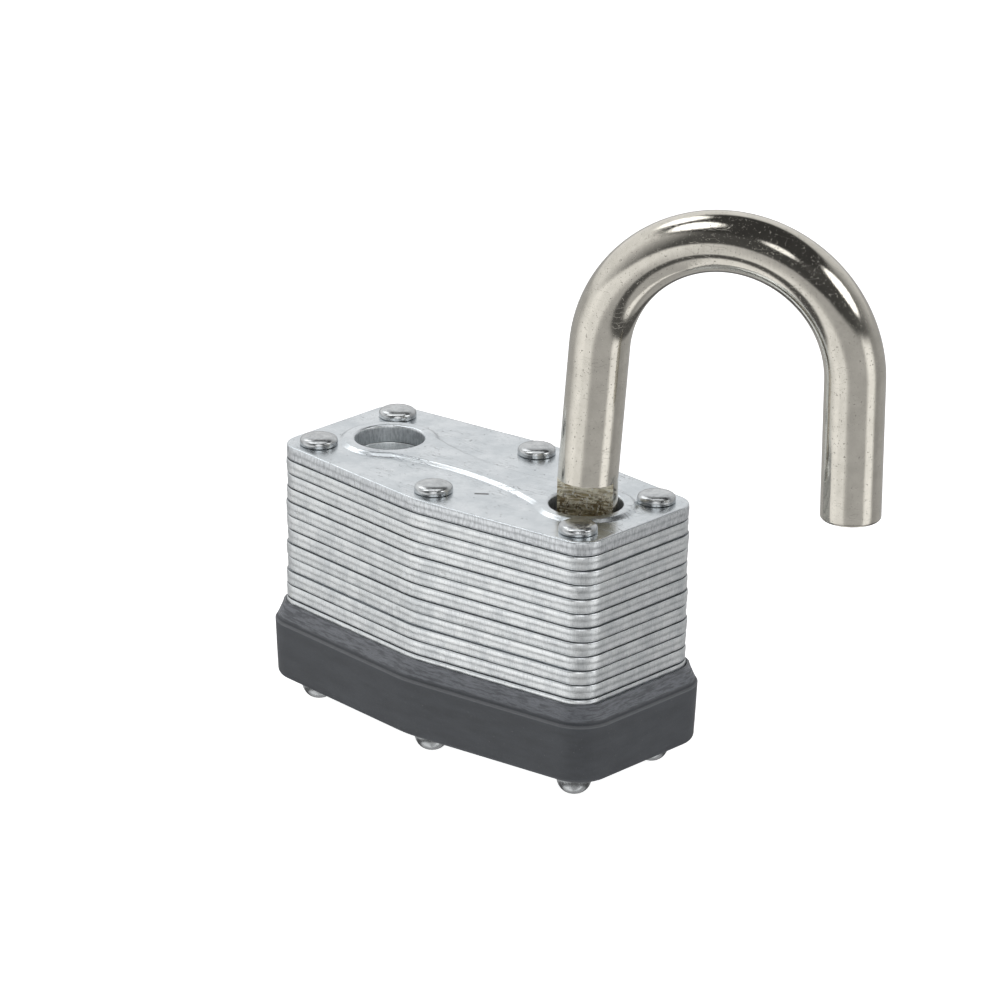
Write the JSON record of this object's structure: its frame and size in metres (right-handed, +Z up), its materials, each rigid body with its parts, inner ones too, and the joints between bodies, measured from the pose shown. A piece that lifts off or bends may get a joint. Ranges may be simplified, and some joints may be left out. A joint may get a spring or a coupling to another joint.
{
  "type": "laminated padlock",
  "caption": "Open laminated steel padlock with a swung-out round shackle, riveted plates, a moulded bumper and a keyway underneath.",
  "frame": {"origin": "middle of the underside of the bottom plate; the rivet feet stand 2.3 mm below it", "axes": "+Z up out of the top plate, towards the bow of the shackle; +X along the body towards the heel leg; -Y is the front"},
  "size_m": [0.0664, 0.0279, 0.0629],
  "materials": {
    "zinc_plate": "bright zinc plate with sheared, striated edges",
    "zinc_rivet": "bright zinc plate, smooth",
    "nickel_rod": "polished nickel, warm grey, fine scratches",
    "black_vinyl": "moulded vinyl, satin, fine speckle",
    "spring_steel": "oiled bare wire",
    "lever_steel": "stamped, tumbled steel",
    "brass": "turned, satin"
  },
  "bodies": {
    "case": {"plate_01": "zinc_plate", "plate_02": "zinc_plate", "plate_03": "zinc_plate", "plate_04": "zinc_plate", "plate_05": "zinc_plate", "plate_06": "zinc_plate", "plate_07": "zinc_plate", "plate_08": "zinc_plate", "plate_09": "zinc_plate", "plate_10": "zinc_plate", "plate_11": "zinc_plate", "plate_12": "zinc_plate", "plate_13": "zinc_plate", "plate_14": "zinc_plate", "plate_15": "zinc_plate", "plate_16": "zinc_plate", "plate_17": "zinc_plate", "rivet_front_left": "zinc_rivet", "rivet_front_middle": "zinc_rivet", "rivet_front_right": "zinc_rivet", "rivet_back_left": "zinc_rivet", "rivet_back_middle": "zinc_rivet", "rivet_back_right": "zinc_rivet", "bumper": "black_vinyl", "lever_pin": "lever_steel", "lever_spring": "spring_steel", "shackle_spring": "spring_steel"},
    "spring_cap": {"spring_cap": "brass"},
    "shackle": {"shackle": "nickel_rod", "retaining_ring": "spring_steel"},
    "locking_lever": {"locking_lever": "lever_steel"},
    "keyway_disc": {"keyway_disc": "brass"}
  },
  "joints": [
    {"name": "shackle_lift", "type": "slide", "parent": "case", "child": "spring_cap", "axis": [0, 0, 1], "range_m": [-0.0075, 0], "stiffness_N_per_m": 400, "springref_m": 0.005, "deforming": ["shackle_spring"]},
    {"name": "shackle_swing", "type": "hinge", "parent": "spring_cap", "child": "shackle", "pos_m": [0.0145, 0, 0.02699], "axis": [0, 0, 1], "range_deg": [-206.1, 153.9]},
    {"name": "keyway_turn", "type": "hinge", "parent": "case", "child": "keyway_disc", "pos_m": [-0.0065, 0, 0], "axis": [0, 0, 1], "range_deg": [0, 90]},
    {"name": "lever_turn", "type": "hinge", "parent": "case", "child": "locking_lever", "pos_m": [0.0042, 0.0052, 0.0198], "axis": [0, 0, 1], "range_deg": [-8, 0]}
  ],
  "couplings": [
    {"joint": "lever_turn", "follows": "keyway_turn", "ratio": -0.088889}
  ]
}
